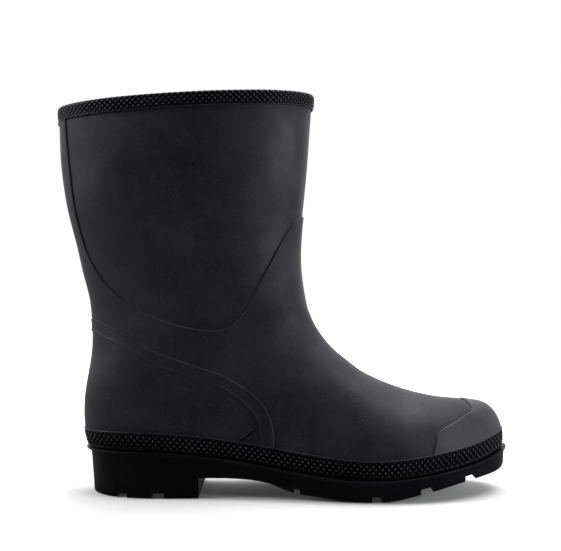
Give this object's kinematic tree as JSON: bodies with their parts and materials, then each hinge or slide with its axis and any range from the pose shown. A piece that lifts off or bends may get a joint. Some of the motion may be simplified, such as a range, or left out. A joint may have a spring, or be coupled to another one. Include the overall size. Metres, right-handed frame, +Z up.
{
  "type": "rubber rain boot",
  "caption": "Short pull-on rubber rain boot for the right foot, with knurled rim and foxing strips, raised foot overlay, ankle strap, toe cap and lugged sole with block heel.",
  "frame": {"origin": "on the ground, under the middle of the boot's overall box", "axes": "+X to the toe, +Y to the inner side of the foot, +Z up"},
  "size_m": [0.3199, 0.1072, 0.2797],
  "materials": {
    "leg_rubber": "matte black rubber with a fine dusty bloom",
    "overlay_rubber": "matte black rubber, slightly smoother at its raised edges",
    "trim_rubber": "knurled black rubber with a low sheen",
    "sole_rubber": "smooth moulded black rubber, semi-gloss",
    "core_rubber": "light expanded rubber, rough",
    "knit_lining": "fine knitted nylon, dark grey",
    "facing_tape": "woven tape, black",
    "stiffener": "thermoplastic sheet, matte",
    "fibre_board": "pressed fibre board",
    "spring_steel": "rolled strip, dull",
    "footbed_foam": "soft closed-cell foam",
    "footbed_cloth": "brushed knit face cloth"
  },
  "bodies": {
    "root": {"upper_shell": "leg_rubber", "foot_overlay": "overlay_rubber", "ankle_strap": "overlay_rubber", "toe_cap": "overlay_rubber", "foxing_band": "trim_rubber", "rim_band": "trim_rubber", "rim_back_tab": "trim_rubber", "outsole": "sole_rubber", "heel_core": "core_rubber", "lining": "knit_lining", "rim_facing": "facing_tape", "toe_puff": "stiffener", "heel_counter": "stiffener", "insole_board": "fibre_board", "forepart_filler": "core_rubber", "shank": "spring_steel", "footbed_foam": "footbed_foam", "footbed_cover": "footbed_cloth"}
  },
  "joints": []
}
